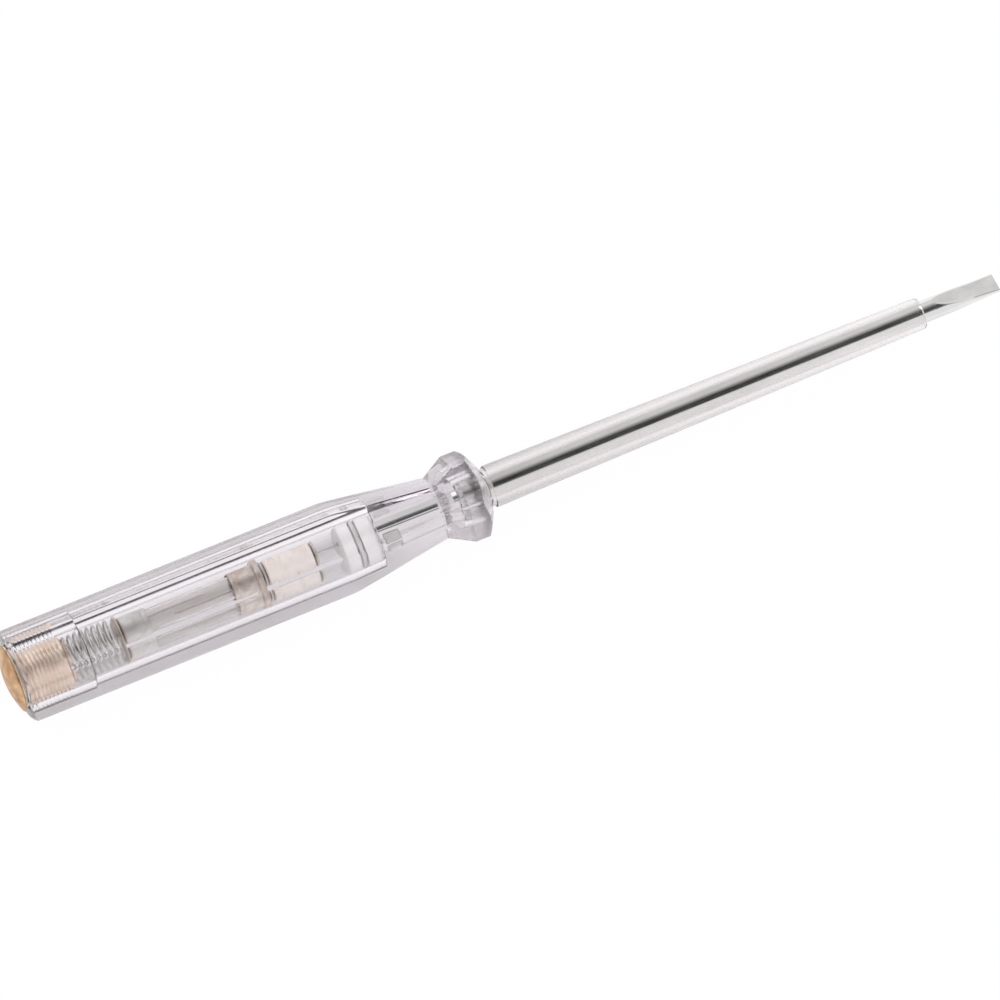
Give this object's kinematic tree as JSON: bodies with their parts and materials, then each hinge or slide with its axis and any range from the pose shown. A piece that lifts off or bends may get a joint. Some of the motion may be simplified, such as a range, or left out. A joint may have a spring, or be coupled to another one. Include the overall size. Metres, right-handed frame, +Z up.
{
  "type": "voltage tester screwdriver",
  "caption": "Mains tester screwdriver: clear hexagonal handle with a neon lamp, resistor and spring inside, a copper screw cap, and a sleeved blade with a flat tip.",
  "frame": {"origin": "middle of the tool's length, under its axis, on the plane that the handle's lowest facet rests on", "axes": "+X along the tool from the screw cap to the blade's tip, +Z up from the facet it rests on, +Y across"},
  "size_m": [0.19, 0.0174, 0.0153],
  "materials": {
    "clear_plastic": "clear moulded plastic, polished",
    "sleeve_plastic": "clear moulded plastic, polished",
    "lamp_glass": "clear lamp glass",
    "copper_cap": "copper-plated, satin",
    "brass": "stamped brass",
    "nickel": "nickel-plated",
    "spring_steel": "drawn spring wire",
    "chrome_steel": "polished plated steel",
    "resistor_ceramic": "beige lacquer over ceramic",
    "white_plastic": "white moulded plastic",
    "ring_rubber": "dark grey rubber"
  },
  "bodies": {
    "handle": {"handle": "clear_plastic", "blade_sleeve": "sleeve_plastic", "blade": "chrome_steel", "spring_seat": "brass", "lamp_rear_cap": "nickel", "lamp_glass": "lamp_glass", "lamp_front_cap": "brass", "lamp_rear_stem": "lamp_glass", "lamp_front_stem": "lamp_glass", "lamp_rear_electrode": "nickel", "lamp_front_electrode": "nickel", "resistor_rear_cap": "nickel", "resistor_body": "resistor_ceramic", "resistor_front_cap": "nickel", "resistor_front_lead": "nickel", "contact_carrier": "white_plastic", "carrier_ring": "ring_rubber", "contact_pin": "brass"},
    "spring": {"compression_spring": "spring_steel"},
    "cap": {"contact_cap": "copper_cap"}
  },
  "joints": [
    {"name": "cap_advance", "type": "slide", "parent": "handle", "child": "spring", "axis": [-1, 0, 0], "range_m": [0, 0.0091], "deforming": ["compression_spring"]},
    {"name": "cap_turn", "type": "hinge", "parent": "spring", "child": "cap", "pos_m": [-0.0931, 0, 0.00765], "axis": [-1, 0, 0], "range_deg": [0, 4320]}
  ],
  "couplings": [
    {"joint": "cap_advance", "follows": "cap_turn", "m_per_rad": 0.00011937}
  ]
}
